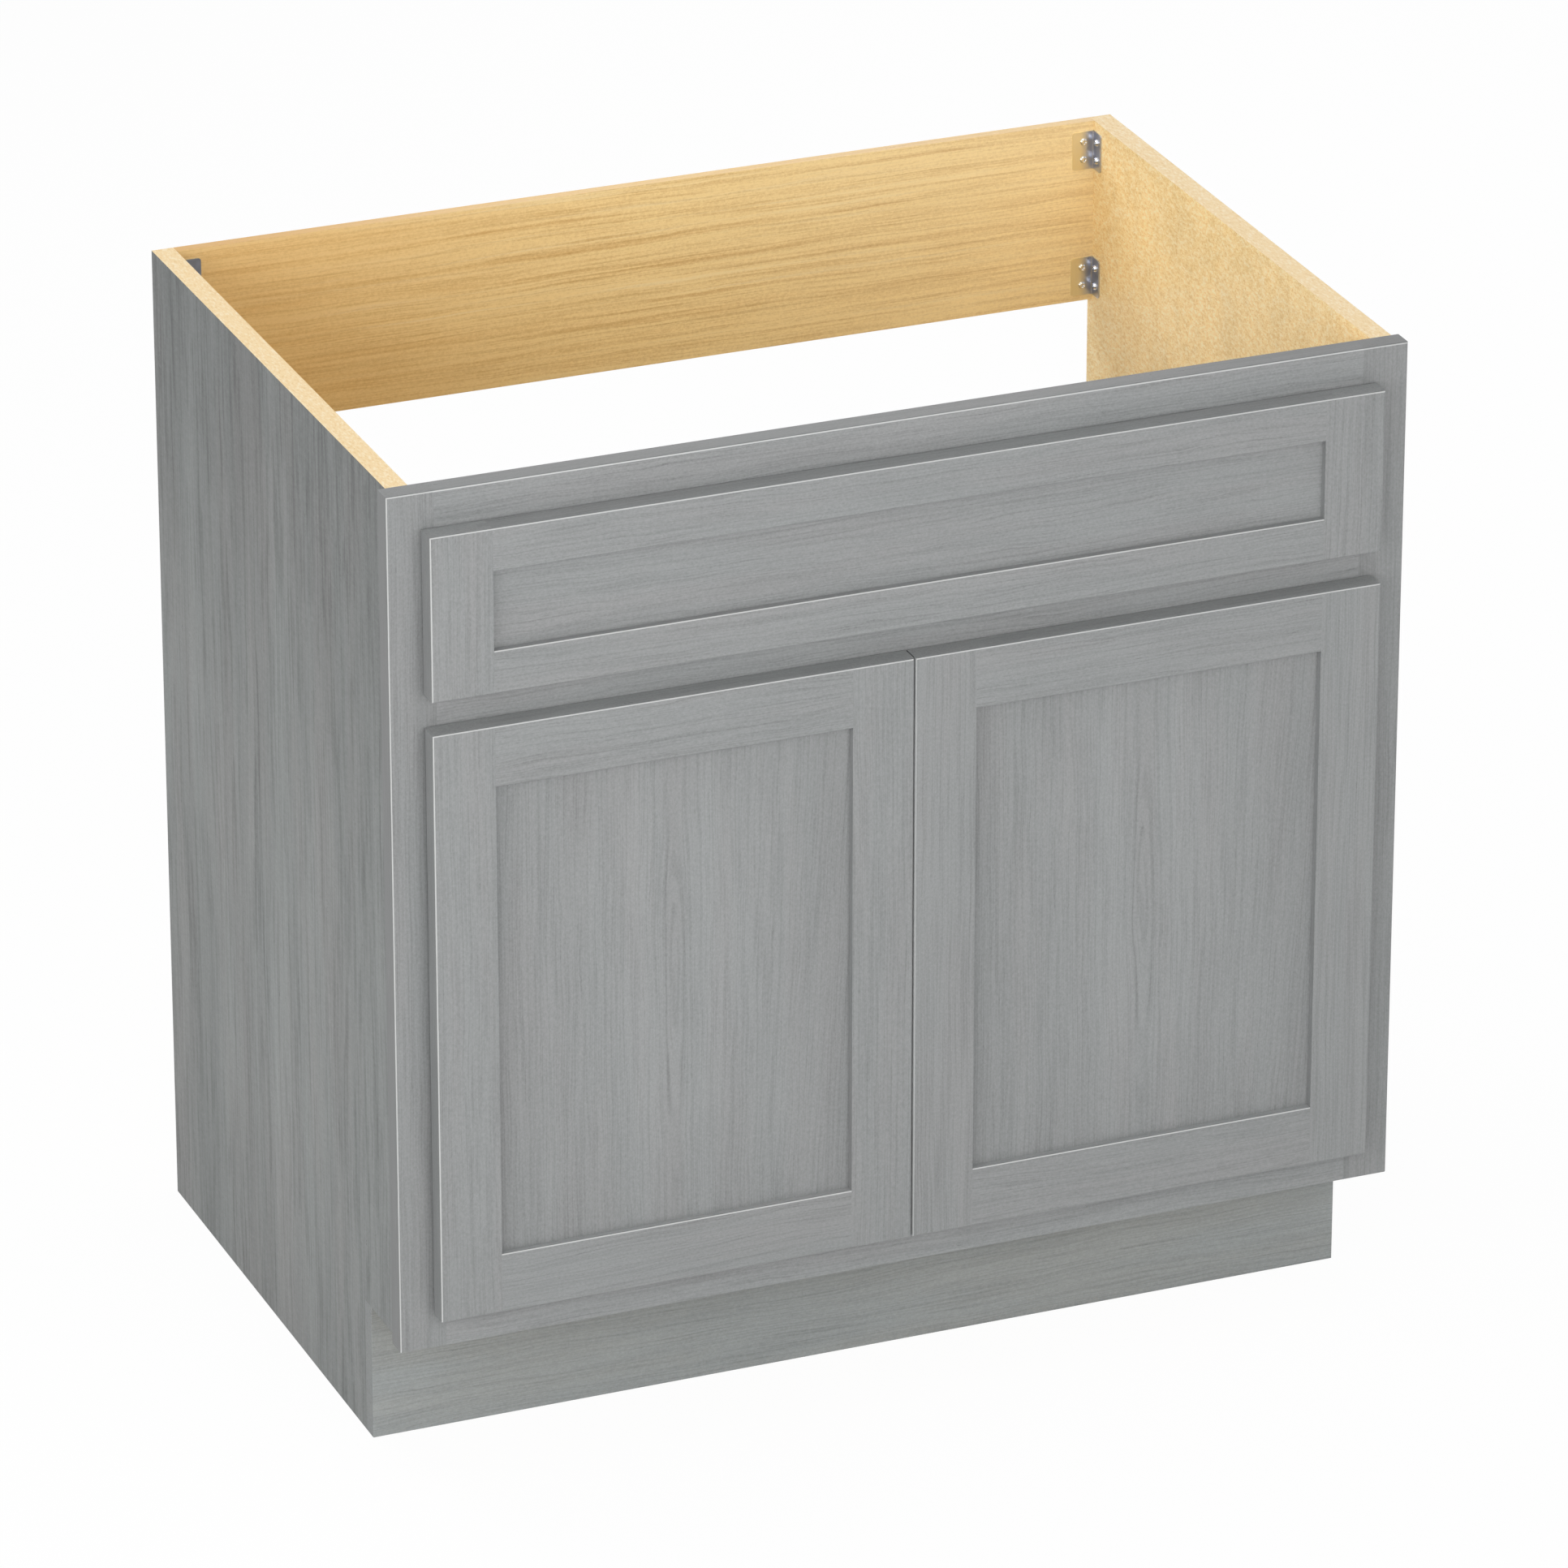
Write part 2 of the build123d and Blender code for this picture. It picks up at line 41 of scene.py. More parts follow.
GREY = srgb(132, 134, 134)
GREY_WARM = srgb(133, 134, 134)
# painted highlight along eased edges where a front turns to the top or the left
GREY_HIGHLIGHT = srgb(184, 185, 184)
# painted dark line just behind that highlight
GREY_SHADED = srgb(104, 106, 106)
SIDE_GREY = srgb(124, 127, 126)
SIDE_GREY_WARM = srgb(127, 128, 127)
TOE_GREY = srgb(138, 142, 142)
TOE_GREY_WARM = srgb(140, 143, 142)
MAPLE = srgb(247, 219, 160)
MAPLE_DARK = srgb(212, 168, 104)
MAPLE_PALE = srgb(253, 237, 198)
EDGE_CREAM = srgb(237, 210, 162)
EDGE_FLECK = srgb(220, 185, 130)
EDGE_PALE = srgb(244, 228, 198)
PINE = srgb(214, 180, 130)
PINE_DARK = srgb(178, 136, 88)
LEFT_ZINC = srgb(158, 170, 196)
# the same zinc as the left brackets, set lighter: painted light
ZINC_LIT_RIGHT = srgb(192, 198, 214)
# painted reflection of the maple back rail, on the brackets' leg along it
ZINC_MAPLE_REFLECTION = srgb(240, 232, 206)
BRIGHT_ZINC = srgb(226, 228, 232)
NICKEL = srgb(206, 202, 196)
BUMPER_MILK = srgb(226, 227, 224)
FLOOR_PALE = (0.85, 0.85, 0.85, 1.0)
WHITE = (1.0, 1.0, 1.0, 1.0)

# ---- Places on the cabinet ----------------------------------------------------------------------------
DOOR_FRONT = -0.3032  # y of the front of the doors and of the false front
SIDE_FACE = 0.4382  # x of the right side's outer face
BRACKET_BEND = 0.4165  # x where the right corner brackets bend
BRACKET_LEG = 0.4045  # x on their leg along the back rail
SIDE_SEAM = 0.064  # y of the two seams in a side's grain
SIDE_PALE_BAND = 0.018  # y of the pale band before them
HEART_HEIGHT = 0.426  # z of the middle of the door panels' heart


# ---- Node trees ---------------------------------------------------------------------------------------
class Socket:
    """An output of a node. Arithmetic on numbers adds Math nodes."""

    def __init__(self, finish, output):
        self.finish = finish
        self.output = output

    def math(self, operation, *values):
        return self.finish.node("ShaderNodeMath", {"operation": operation}, dict(enumerate(values)))

    def __add__(self, other):
        return self.math("ADD", self, other)

    def __sub__(self, other):
        return self.math("SUBTRACT", self, other)

    def __rsub__(self, other):
        return self.math("SUBTRACT", other, self)

    def __mul__(self, other):
        return self.math("MULTIPLY", self, other)

    __radd__ = __add__
    __rmul__ = __mul__

    def absolute(self):
        return self.math("ABSOLUTE", self)

    def root(self):
        return self.math("SQRT", self)

    def larger(self, other):
        return self.math("MAXIMUM", self, other)

    def rise(self, low, high):
        """0 below low, 1 above high, with a smooth rise between. With low above high it falls."""
        values = {"Value": self, "From Min": low, "From Max": high}
        return self.finish.node("ShaderNodeMapRange", {"interpolation_type": "SMOOTHSTEP"}, values)


class Finish:
    """A material under construction, with each point's place and facing in the cabinet's own frame."""

    def __init__(self, name, sheen=0.2):
        self.material = bpy.data.materials.new(name)
        self.material.use_nodes = True
        self.tree = self.material.node_tree
        self.shader = self.tree.nodes["Principled BSDF"]
        self.shader.inputs["Specular IOR Level"].default_value = sheen
        self.place = self.node("ShaderNodeTexCoord", output="Object")
        self.facing = self.parts(self.node("ShaderNodeTexCoord", output="Normal"))

    def node(self, kind, settings=None, inputs=None, output=0):
        """Add a node, set what it does, feed its inputs with values or sockets, and give one output."""
        node = self.tree.nodes.new(kind)
        for name, value in (settings or {}).items():
            setattr(node, name, value)
        for name, value in (inputs or {}).items():
            if isinstance(value, Socket):
                self.tree.links.new(value.output, node.inputs[name])
            else:
                node.inputs[name].default_value = value
        return Socket(self, node.outputs[output])

    def parts(self, vector):
        """The x, y and z of a vector."""
        return [self.node("ShaderNodeSeparateXYZ", {}, {0: vector}, axis) for axis in range(3)]

    def vector(self, x, y, z):
        """A vector from three numbers."""
        return self.node("ShaderNodeCombineXYZ", {}, {0: x, 1: y, 2: z})

    def mix(self, base, other, share):
        """Blend two colours by a share that varies over the surface."""
        return self.node("ShaderNodeMix", {"data_type": "RGBA"}, {0: share, 6: base, 7: other}, 2)

    def shade(self, colour, value):
        """Multiply a colour by a number."""
        tint = colour if isinstance(colour, Socket) else colour[:3]
        return self.node("ShaderNodeVectorMath", {"operation": "SCALE"}, {0: tint, "Scale": value})

    def noise(self, place, sizes, seed, detail=2.0, roughness=0.5):
        """Cloudy noise about 0 whose blots have the given sizes along x, y and z."""
        scale = tuple(1 / size for size in sizes)
        shift = (seed * 7.3, seed * 3.1, seed * 5.7)
        moved = self.node("ShaderNodeVectorMath", {"operation": "MULTIPLY_ADD"},
                          {0: place, 1: scale, 2: shift})
        values = {"Vector": moved, "Scale": 1.0, "Detail": detail, "Roughness": roughness}
        return self.node("ShaderNodeTexNoise", {}, values) - 0.5

    def looks_up(self):
        """1 on faces that look straight up."""
        return self.facing[2].rise(0.90, 0.99)

    def looks_left(self):
        """1 on faces that look straight to the left."""
        return (0 - self.facing[0]).rise(0.90, 0.99)

    def feed(self, **inputs):
        """Set or link the shader's own sockets, given with _ for a space."""
        for name, value in inputs.items():
            socket = self.shader.inputs[name.replace("_", " ")]
            if isinstance(value, Socket):
                self.tree.links.new(value.output, socket)
            else:
                socket.default_value = value

    def relief(self, height, distance, strength):
        """Feed the shader's normal with a fine relief, distance metres deep."""
        values = {"Height": height, "Distance": distance, "Strength": strength}
        self.feed(Normal=self.node("ShaderNodeBump", {}, values))

    def wood(self, colour, polish, fine, depth, strength):
        """Complete a wood finish whose polish and relief follow its fine grain."""
        self.feed(Base_Color=colour, Roughness=polish + 0.2 * fine)
        self.relief(fine, depth, strength)
        return self.material


# ---- Wood ---------------------------------------------------------------------------------------------
def along(grain, across, length):
    """Sizes of a blot that is across wide and length long, with its length along the grain's axis."""
    return tuple(length if axis == grain else across for axis in "XYZ")


def wavy(finish, grain, face, seed, sway, ripple):
    """The place, pushed to and fro across a board's face, so that lines along its grain run wavy.

    sway is how far the long waves push, in metres, and ripple how far the short ones do.
    """
    long_wave = finish.noise(finish.place, along(grain, 0.09, 0.50), seed)
    short_wave = finish.noise(finish.place, along(grain, 0.022, 0.085), seed + 1)
    push = 4 * sway * long_wave + 4 * ripple * short_wave
    direction = tuple(1.0 if axis == face else 0.0 for axis in "XYZ")
    return finish.node("ShaderNodeVectorMath", {"operation": "MULTIPLY_ADD"},
                       {0: push, 1: direction, 2: finish.place})


def heart(finish, centre_x, centre_z):
    """The place on a door panel whose rings close around a slender heart, and how much darker it is there.

    Two dark rings bound the heart, a paler band runs down each side of it, and the panel's rim is darker
    with painted shade.
    """
    x, _, z = finish.parts(wavy(finish, "Z", "X", 3.0, 0.003, 0.0014))
    above = z - centre_z
    height = above.absolute()
    straight = x - centre_x
    beside = straight - 0.06 * above * straight.rise(0.03, 0.14)
    open_up = height.rise(0.17, 0.0)
    ring = (beside * beside + 0.0001 - 0.00007 * open_up).root()
    dark = (ring - 0.0104).absolute().rise(0.0013, 0.0003) * height.rise(0.17, 0.07)
    inner = ring.rise(0.0102, 0.0090) * height.rise(0.13, 0.03)
    pale = (ring - 0.029).absolute().rise(0.017, 0.002)
    # Painted shade around the panel's edges, where it sits in its frame.
    rim = straight.absolute().rise(0.07, 0.16).larger(height.rise(0.09, 0.26))
    depth = 0.13 * dark + 0.02 * inner - 0.045 * pale + 0.10 * (rim - 0.4)
    return finish.vector(ring, 0.12 * beside, z), depth


def grain_tone(finish, path, grain, seed, pores, lines=0.06, veins=0.085):
    """Growth lines, dark threads and veins, bands, specks and pores as one number about 0, and a fine part.

    pores, lines and veins are how strong each of those is.
    """
    line = finish.noise(path, along(grain, 0.0060, 0.40), seed, 2.0, 0.6)
    thread = finish.noise(path, along(grain, 0.0012, 0.10), seed + 1, 1.0).rise(-0.04, 0.14)
    vein = finish.noise(path, along(grain, 0.0022, 0.18), seed + 5, 1.0).rise(0.02, 0.16)
    band = finish.noise(path, along(grain, 0.040, 0.50), seed + 4, 1.0)
    speck = finish.noise(finish.place, along(grain, 0.0016, 0.0026), seed + 2, 1.0, 0.9)
    patch = finish.noise(path, along(grain, 0.016, 0.060), seed + 3, 2.0)
    pore = finish.noise(path, along(grain, 0.0024, 0.036), seed + 6, 2.0, 0.6).rise(0.10, 0.24)
    dark = 0.110 * (thread - 0.4) + veins * (vein - 0.25) + pores * pore
    tone = lines * line + 0.11 * band + 0.40 * speck + 0.08 * patch - dark
    return tone, speck - 0.4 * thread - 0.5 * pore


def eased_edge_highlights(finish, colour, left_highlight=1.0):
    """Paint highlights on eased edges where a front turns to the top or the left, and a painted dark line
    behind them.

    The last argument is how light the painted highlight to the left is.
    """
    facing_x, facing_y, facing_z = finish.facing
    front = 0 - facing_y
    # Where the painted highlight and the painted dark line fall, from the facing alone.
    upward = front.rise(0.55, 0.72) * facing_z.rise(0.12, 0.30)
    leftward = front.rise(0.45, 0.65) * (0 - facing_x).rise(0.22, 0.42)
    behind = front.rise(0.10, 0.25) * facing_z.rise(0.74, 0.84)
    colour = finish.mix(colour, GREY_SHADED, 0.6 * behind)
    return finish.mix(colour, GREY_HIGHLIGHT, upward.larger(left_highlight * leftward))


def door_gap_painted_light(finish, colour):
    """Painted light on the front few millimetres of a door's left edge, seen in shade through the gap
    between the doors.
    """
    fade = finish.parts(finish.place)[1].rise(DOOR_FRONT + 0.0052, DOOR_FRONT + 0.0032)
    return finish.shade(colour, 1.0 + 1.2 * finish.looks_left() * fade)


def face_frame(finish, colour, grain, tone):
    """The face frame's levels, painted shade on its tops and left faces, and a bare maple back between the
    sides.
    """
    beside = finish.parts(finish.place)[0]
    # Rails a little lighter and stiles a little darker than the other paint: painted light and shade.
    level = 1.07 if grain == "X" else 0.98
    # Painted shade on the tops, deeper towards the right, and on the left faces.
    painted_top_shade = 0.30 + 0.17 * beside.rise(0.05, 0.44)
    colour = finish.shade(colour, level - painted_top_shade * finish.looks_up() - 0.27 * finish.looks_left())
    bare = finish.shade(MAPLE, 1.0 + 1.4 * tone)
    between_sides = beside.absolute().rise(SIDE_FACE + 0.0004, SIDE_FACE - 0.0004)
    return finish.mix(colour, bare, between_sides * finish.facing[1].rise(0.80, 0.95))


def grey_paint(name, grain, seed, panel_heart=None, natural_back=False):
    """Grey paint, thin enough that the grain shows, with painted highlights on its eased edges and painted
    light on its tops.
    """
    finish = Finish(name)
    if panel_heart:
        path, depth = heart(finish, *panel_heart)
    elif grain == "Z":
        path = wavy(finish, grain, "X", seed, 0.004, 0.0010)
    else:
        path = wavy(finish, grain, "Z", seed, 0.006, 0.0022)
    pores = 0.05 if grain == "Z" else 0.09
    veins = 0.045 if panel_heart else 0.065
    tone, fine = grain_tone(finish, path, grain, seed, pores, veins=veins)
    tone = tone - depth if panel_heart else tone
    warmth = finish.noise(finish.place, along(grain, 0.03, 0.30), seed + 8).rise(-0.12, 0.18)
    paint = finish.shade(finish.mix(GREY, GREY_WARM, warmth), tone + 1.0)
    at_gap = name == "grey_right_door_meeting_stile"
    colour = eased_edge_highlights(finish, paint, left_highlight=0.5 if at_gap else 1.0)
    # Painted light: faces that look up are lightened, most on the doors, less on stiles, least on rails.
    lift = 0.30 if "door" in name else 0.20 if grain == "Z" else 0.08
    colour = finish.shade(colour, 1.0 + lift * finish.looks_up())
    # Painted light in the shaded gap between the doors, and a weaker painted highlight on that edge.
    if at_gap:
        colour = door_gap_painted_light(finish, colour)
    if natural_back:
        colour = face_frame(finish, colour, grain, tone)
    return finish.wood(colour, 0.45, fine, 0.0004, 0.15)


def side_figure_and_painted_shade(finish, path):
    """How much darker a point of a side is than the rest.

    Two seams part downwards, with a pale band before them. Painted shade darkens the side towards its upper
    end, and it also darkens towards its foot and its front and rear edges.
    """
    _, y, z = finish.parts(path)
    spread = z.rise(0.66, 0.10)
    beside = (y - SIDE_SEAM + 0.004 * spread).absolute()
    seams = (beside - 0.0025 - 0.011 * spread).absolute().rise(0.0019, 0.0004) * z.rise(0.74, 0.56)
    between = beside.rise(0.014, 0.006) * z.rise(0.60, 0.45)
    pale = (y - SIDE_PALE_BAND).absolute().rise(0.036, 0.006)
    front_shade = y.rise(-0.06, -0.20)
    rear_shade = y.rise(0.22, 0.30)
    # Painted shade: the side darkens towards its upper end.
    painted_upper_shade = z.rise(0.42, 0.92)
    lower_shade = z.rise(0.25, 0.0)
    shade = 0.05 * front_shade + 0.04 * rear_shade + 0.26 * painted_upper_shade + 0.08 * lower_shade
    return shade + 0.17 * seams + 0.05 * between - 0.07 * pale


def side_outside(finish, seed):
    """Grey laminate with long fine lines along the side's height, and its fine grain."""
    path = wavy(finish, "Z", "Y", seed, 0.006, 0.0012)
    tone, fine = grain_tone(finish, path, "Z", seed, 0.05, lines=0.14)
    reed = finish.noise(path, along("Z", 0.0048, 0.095), seed + 5, 1.0, 0.6).rise(0.02, 0.13)
    grit = finish.noise(finish.place, along("Z", 0.0060, 0.0040), seed + 11, 1.0, 0.8)
    rush = finish.noise(path, along("Z", 0.0055, 0.140), seed + 6, 0.0).rise(0.04, 0.24)
    sweep = finish.noise(path, along("Z", 0.040, 0.40), seed + 7, 2.0)
    streak = finish.noise(path, along("Z", 0.010, 0.22), seed + 9, 4.0, 0.7).rise(0.04, 0.18)
    blot = finish.noise(path, along("Z", 0.013, 0.11), seed + 10, 2.0, 0.6).rise(0.04, 0.20)
    forward = finish.parts(finish.place)[1].rise(0.0, -0.24)
    drawn = 0.18 * (reed - 0.30) + 0.05 * (rush - 0.2) + 0.05 * (streak - 0.2)
    depth = drawn + 0.14 * blot * forward + side_figure_and_painted_shade(finish, path)
    warmth = finish.noise(finish.place, along("Z", 0.060, 0.40), seed + 8).rise(-0.05, 0.20)
    grey = finish.mix(SIDE_GREY, SIDE_GREY_WARM, warmth)
    return finish.shade(grey, 1.0 + 1.2 * tone + 0.5 * sweep + 0.28 * grit - depth), fine


def side_inside(finish, seed):
    """Maple laminate, speckled pale and dark."""
    fleck = finish.noise(finish.place, (0.0026, 0.0050, 0.0024), seed, 2.0, 0.9)
    cloud = finish.noise(finish.place, (0.05, 0.05, 0.05), seed, 3.0, 0.7)
    patch = finish.noise(finish.place, (0.02, 0.022, 0.016), seed + 2, 3.0, 0.7)
    maple = finish.mix(MAPLE, MAPLE_PALE, 0.10 + fleck.rise(-0.01, 0.14))
    maple = finish.mix(maple, MAPLE_DARK, 0.38 * fleck.rise(-0.01, -0.16))
    return finish.shade(maple, 1.03 + 0.30 * cloud - 0.05 * patch.rise(0.04, 0.20))


def side_edge(finish, seed):
    """Bare cream edge with pale and dark flecks."""
    chip = finish.noise(finish.place, (0.0018, 0.0050, 0.0018), seed + 3, 2.0, 0.6)
    cream = finish.mix(EDGE_CREAM, EDGE_FLECK, 0.5 * chip.rise(-0.06, -0.20))
    return finish.mix(cream, EDGE_PALE, 0.7 * chip.rise(0.0, 0.16))


def side_laminate(name, outward, seed):
    """A side panel: grey outside, maple inside and cream on its edges. outward is -1 left and 1 right."""
    finish = Finish(name, 0.1)
    outside, fine = side_outside(finish, seed)
    is_outside = (outward * finish.facing[0]).rise(0.4, 0.6)
    is_inside = (-outward * finish.facing[0]).rise(0.4, 0.6)
    colour = finish.mix(side_edge(finish, seed), side_inside(finish, seed), is_inside)
    colour = finish.mix(colour, outside, is_outside)
    return finish.wood(colour, 0.45, fine, 0.0003, 0.12)


def toe_laminate():
    """Grey laminate with long level streaks, painted shade on its left end, and a bare back."""
    finish = Finish("toe_laminate")
    seed = 31.0
    path = wavy(finish, "X", "Z", seed, 0.010, 0.0015)
    tone, fine = grain_tone(finish, path, "X", seed, 0.05)
    streak = finish.noise(path, along("X", 0.010, 0.45), seed + 9, 3.0, 0.6).rise(0.06, 0.20)
    warmth = finish.noise(finish.place, along("X", 0.04, 0.30), seed + 8).rise(-0.12, 0.12)
    colour = finish.mix(TOE_GREY, TOE_GREY_WARM, warmth)
    # Painted shade on the end face that looks left.
    colour = finish.shade(colour, 1.0 + tone - 0.06 * streak - 0.25 * finish.looks_left())
    bare = finish.shade(MAPLE, 1.0 + tone)
    colour = finish.mix(colour, bare, finish.facing[1].rise(0.5, 0.8))
    return finish.wood(colour, 0.45, fine, 0.0003, 0.12)


def maple_laminate(name, grain, face, seed, painted_shade_and_light=0.0):
    """Light maple with streaks along the grain.

    The last argument is how much painted shade darkens its left end and its top, and how much painted light
    makes its right end paler.
    """
    finish = Finish(name)
    path = wavy(finish, grain, face, seed, 0.003, 0.0010)
    tone, fine = grain_tone(finish, path, grain, seed, 0.05)
    streak = finish.noise(path, along(grain, 0.006, 0.40), seed + 9, 4.0, 0.66)
    depth = 0.10 + 0.46 * streak.rise(-0.06, 0.24) - 2.0 * tone
    colour = finish.mix(MAPLE, MAPLE_DARK, depth)
    colour = finish.mix(colour, MAPLE_PALE, 0.4 * streak.rise(-0.04, -0.25))
    # Painted light on the right end; painted shade on the left end and on the top.
    beside = finish.parts(finish.place)[0]
    ends = beside.rise(0.05, -0.42) + finish.facing[2].rise(0.5, 0.9)
    colour = finish.mix(colour, MAPLE_PALE, 0.5 * painted_shade_and_light * beside.rise(-0.05, 0.40))
    colour = finish.mix(colour, MAPLE_DARK, painted_shade_and_light * ends)
    colour = finish.shade(colour, 1.0 + 0.3 * tone)
    return finish.wood(colour, 0.42, fine, 0.0003, 0.12)


def bare_batten():
    """Planed softwood with its year rings."""
    finish = Finish("bare_batten")
    seed = 41.0
    path = wavy(finish, "Z", "X", seed, 0.003, 0.0005)
    tone, fine = grain_tone(finish, path, "Z", seed, 0.04)
    ring = finish.noise(path, along("Z", 0.005, 0.3), seed + 3, 1.0).rise(0.0, 0.15)
    colour = finish.shade(finish.mix(PINE, PINE_DARK, 0.6 * ring), 1.0 + tone)
    return finish.wood(colour, 0.62, fine, 0.0004, 0.2)


# ---- Fittings -----------------------------------------------------------------------------------------
def plated(name, colour, polish, cloudiness, maple_reflection=None):
    """Plated steel, faintly clouded in colour and polish, with a painted reflection of the maple rail, a
    golden tint, away from its bend if given.
    """
    finish = Finish(name)
    cloud = finish.noise(finish.place, (0.006, 0.006, 0.006), 2.0, 3.0)
    brushed = finish.noise(finish.place, (0.004, 0.004, 0.0004), 5.0, 1.0)
    metal = finish.shade(colour, 1.0 + cloudiness * cloud)
    if maple_reflection:
        metal = finish.mix(metal, maple_reflection, finish.parts(finish.place)[0].rise(BRACKET_BEND, BRACKET_LEG))
    finish.feed(Base_Color=metal, Metallic=1.0, Roughness=polish + 0.2 * cloud)
    finish.relief(brushed, 0.00005, 0.3)
    return finish.material


def soft_bumper():
    """Milky soft plastic."""
    finish = Finish("soft_bumper")
    cloud = finish.noise(finish.place, (0.003, 0.003, 0.003), 1.0)
    finish.feed(Base_Color=finish.shade(BUMPER_MILK, 1.0 + 0.1 * cloud), Roughness=0.35 + 0.1 * cloud)
    return finish.material


left_zinc = plated("zinc_plate_left", LEFT_ZINC, 0.34, 0.25)
# The right brackets' zinc is lighter than the left's, as painted light.
lit_right_zinc = plated("zinc_plate_right_lit", ZINC_LIT_RIGHT, 0.34, 0.25, maple_reflection=ZINC_MAPLE_REFLECTION)
bright_zinc = plated("bright_zinc", BRIGHT_ZINC, 0.16, 0.1)
nickel = plated("nickel_plate", NICKEL, 0.22, 0.1)
bumper_plastic = soft_bumper()
batten = bare_batten()
maple_level = maple_laminate("maple_level", "X", "Z", 51.0)


# ---- Each piece's finish ------------------------------------------------------------------------------
def finish_by_name(node, seed):
    """The finish of a piece that isn't listed below, from its name."""
    if node.endswith("cleat"):
        return batten
    if node.endswith("corner_bracket"):
        return left_zinc if node.startswith("left") else lit_right_zinc
    if node.endswith("screws"):
        return bright_zinc
    if "_hinge_" in node and "door" not in node:
        return nickel
    if node.endswith("bumpers"):
        return bumper_plastic
    if node.endswith("door_panel"):
        low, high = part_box(node)
        middle = ((low[0] + high[0]) / 2, HEART_HEIGHT)
        return grey_paint("grey_" + node, "Z", 91.0, panel_heart=middle)
    grain = "X" if node.endswith("rail") else "Z"
    return grey_paint("grey_" + node, grain, seed, natural_back=node.startswith("frame_"))


finishes = {
    "left_side_panel": side_laminate("side_laminate_left", -1, 61.0),
    "right_side_panel": side_laminate("side_laminate_right", 1, 71.0),
    "toe_board": toe_laminate(),
    "back_rail": maple_laminate("maple_back_rail", "X", "Z", 57.0, painted_shade_and_light=0.50),
    "floor_panel": maple_laminate("maple_floor", "X", "Y", 55.0),
    "front_floor_support": maple_level,
    "rear_floor_support": maple_level,
    "false_front_panel": grey_paint("grey_false_front_panel", "X", 81.0),
}
for node in nodes:
    if node not in finishes:
        finishes[node] = finish_by_name(node, 3.7 * len(finishes))
for node, material in finishes.items():
    for slot in nodes[node].material_slots:
        slot.material = material


# ---- Floor, light and camera --------------------------------------------------------------------------
FLOOR_HALF = 9.0
FLOOR_WHITE = 0.96  # share of plain white in the floor as the camera sees it; the rest takes shadow
SKY_STRENGTH = 0.25
LAMP_SIZE = 2.0
LAMP_REACH = 3.5
LAMP_TARGET = Vector((0.0, 0.0, 0.45))
LAMPS = {  # azimuth and elevation in degrees, power in watts
    "front_softbox": (5, 15, 46.0),
    "high_front_softbox": (5, 42, 12.0),
    "left_front_softbox": (-30, 16, 24.0),
    "left_softbox": (-65, 18, 39.0),
    "left_back_softbox": (-150, 50, 42.0),
    "right_softbox": (100, 8, 36.0),
    "right_back_softbox": (150, 18, 14.0),
    "top_softbox": (0, 85, 22.0),
}
CAMERA_PLACE = (-2.86912, -7.05028, 3.82263)
CAMERA_AZIMUTH, CAMERA_ELEVATION = 22.208, 23.964  # degrees; it stands to the left and looks down
CAMERA_LENS, SENSOR_WIDTH = 226.76, 36.0  # millimetres


def seen_directly(finish):
    """1 for what the camera, a reflection or a clear piece sees, 0 for the light that falls on things."""
    rays = [finish.node("ShaderNodeLightPath", output=name)
            for name in ("Is Camera Ray", "Is Glossy Ray", "Is Transmission Ray")]
    return rays[0].larger(rays[1]).larger(rays[2])


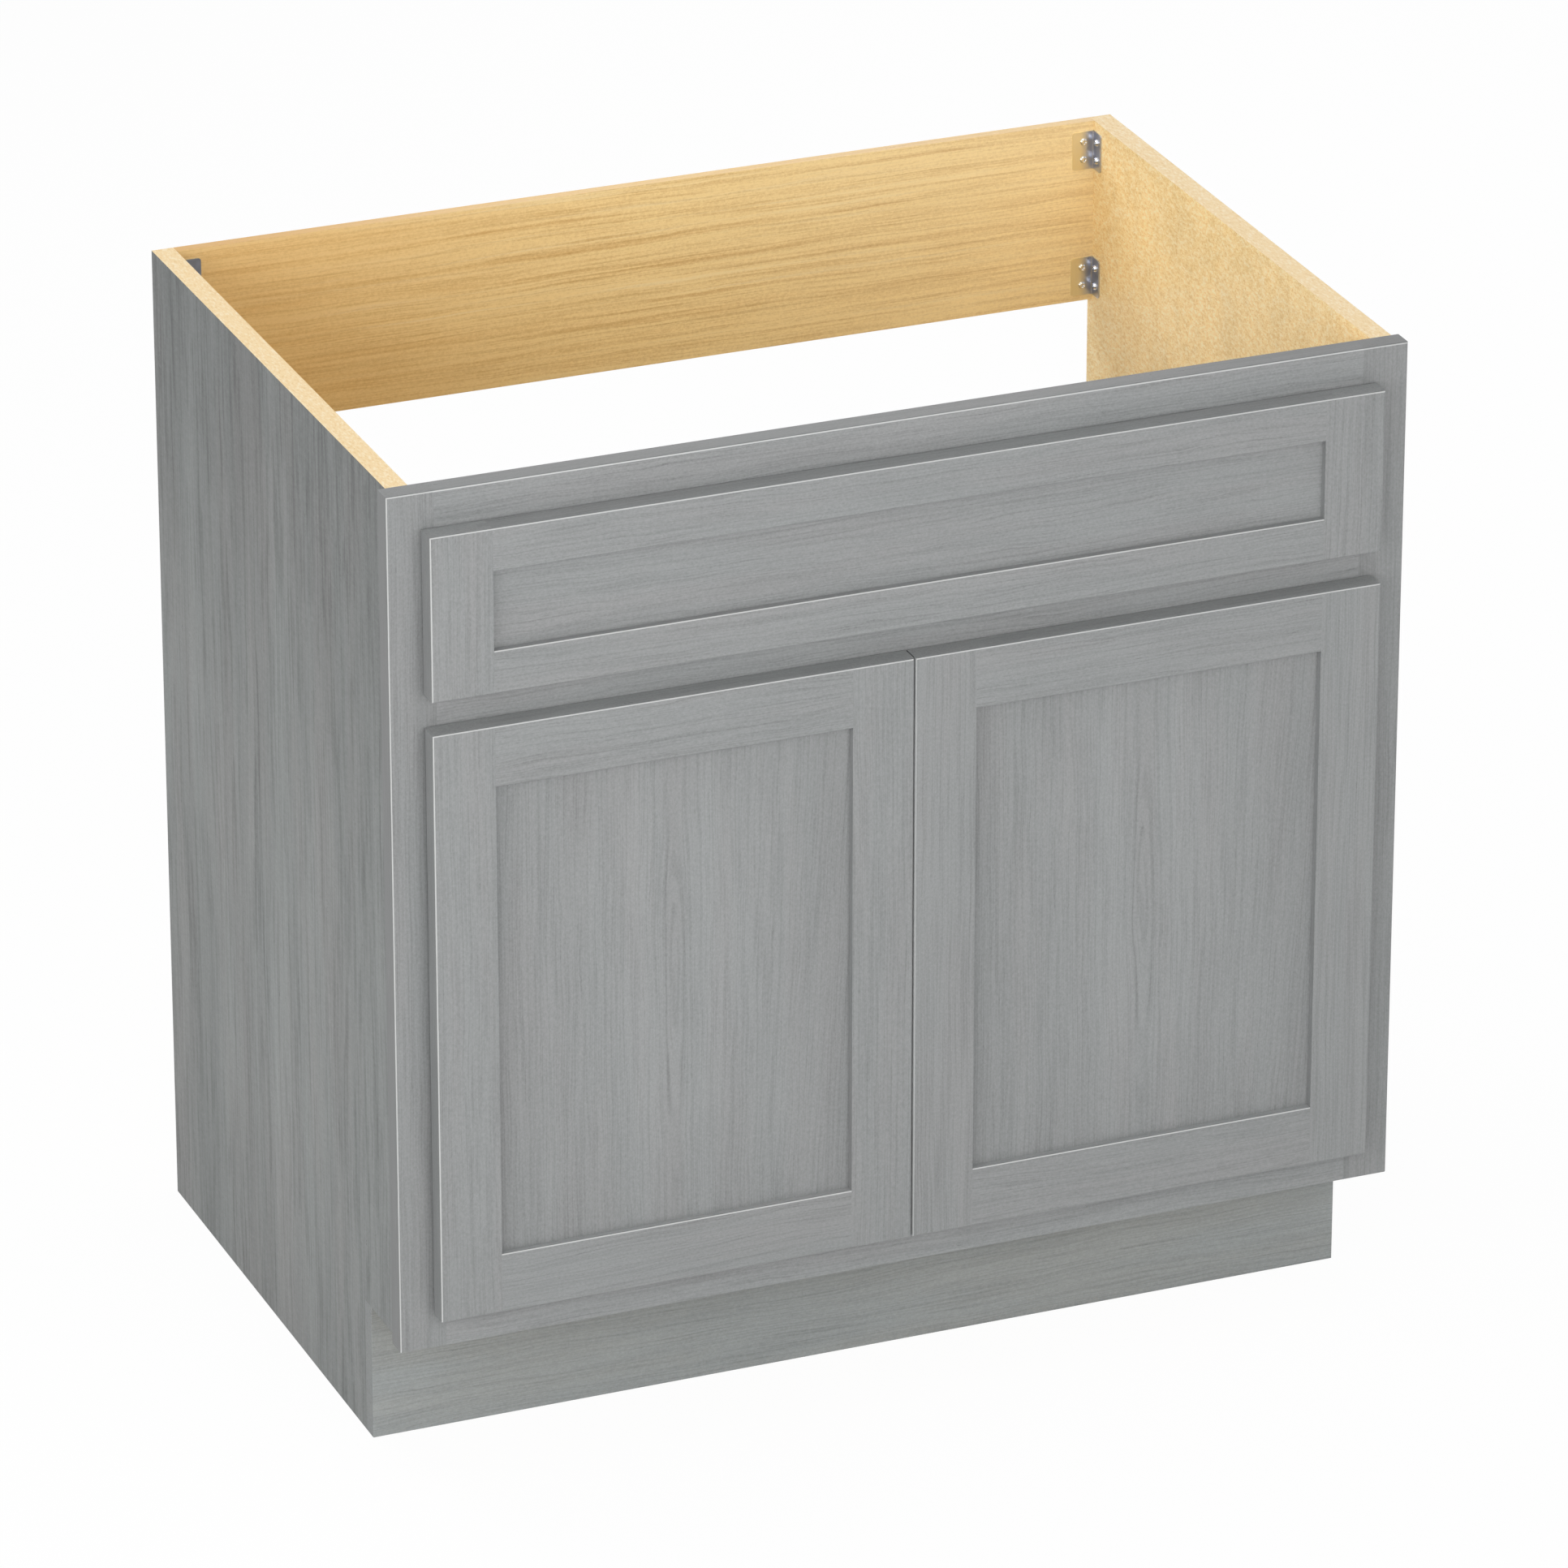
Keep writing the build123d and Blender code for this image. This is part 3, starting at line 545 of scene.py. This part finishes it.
def studio_floor():
    """A wide white floor that keeps a faint trace of the cabinet's shadow."""
    mesh = bpy.data.meshes.new("studio_floor")
    corners = [(across * FLOOR_HALF, deep * FLOOR_HALF, 0)
               for across, deep in ((-1, -1), (1, -1), (1, 1), (-1, 1))]
    mesh.from_pydata(corners, [], [(0, 1, 2, 3)])
    floor = bpy.data.objects.new("studio_floor", mesh)
    bpy.context.scene.collection.objects.link(floor)
    finish = Finish("studio_floor")
    finish.feed(Base_Color=FLOOR_PALE, Roughness=0.9, Specular_IOR_Level=0.0)
    white = finish.node("ShaderNodeEmission", {}, {"Strength": 1.0})
    base = Socket(finish, finish.shader.outputs[0])
    share = FLOOR_WHITE * seen_directly(finish)
    blend = finish.node("ShaderNodeMixShader", {}, {0: share, 1: base, 2: white})
    finish.tree.links.new(blend.output, finish.tree.nodes["Material Output"].inputs[0])
    mesh.materials.append(finish.material)


class Sky(Finish):
    """The world's own node tree, built with the same helpers."""

    def __init__(self, strength):
        world = bpy.data.worlds.new("studio")
        bpy.context.scene.world = world
        world.use_nodes = True
        self.tree = world.node_tree
        background = self.tree.nodes["Background"]
        background.inputs["Color"].default_value = WHITE
        level = strength + (1.0 - strength) * seen_directly(self)
        self.tree.links.new(level.output, background.inputs["Strength"])


def softbox(name, azimuth, elevation, power):
    """A square lamp on a dome around the cabinet. Azimuth 0 stands in front, and grows towards the right."""
    turn, lift = math.radians(azimuth), math.radians(elevation)
    away = Vector((math.sin(turn) * math.cos(lift), -math.cos(turn) * math.cos(lift), math.sin(lift)))
    lamp = bpy.data.lights.new(name, "AREA")
    lamp.energy = power
    lamp.shape = "SQUARE"
    lamp.size = LAMP_SIZE
    holder = bpy.data.objects.new(name, lamp)
    holder.location = LAMP_TARGET + LAMP_REACH * away
    holder.rotation_euler = away.to_track_quat("Z", "Y").to_euler()
    bpy.context.scene.collection.objects.link(holder)


def photograph_camera():
    """The camera, at the viewing angle of the photograph."""
    camera = bpy.data.cameras.new("camera")
    camera.sensor_width = SENSOR_WIDTH
    camera.lens = CAMERA_LENS
    holder = bpy.data.objects.new("camera", camera)
    holder.location = CAMERA_PLACE
    holder.rotation_euler = (math.radians(90 - CAMERA_ELEVATION), 0.0, math.radians(-CAMERA_AZIMUTH))
    bpy.context.scene.collection.objects.link(holder)
    bpy.context.scene.camera = holder


studio_floor()
Sky(SKY_STRENGTH)
for name, setting in LAMPS.items():
    softbox(name, *setting)
photograph_camera()
bpy.context.scene.view_settings.view_transform = "Standard"
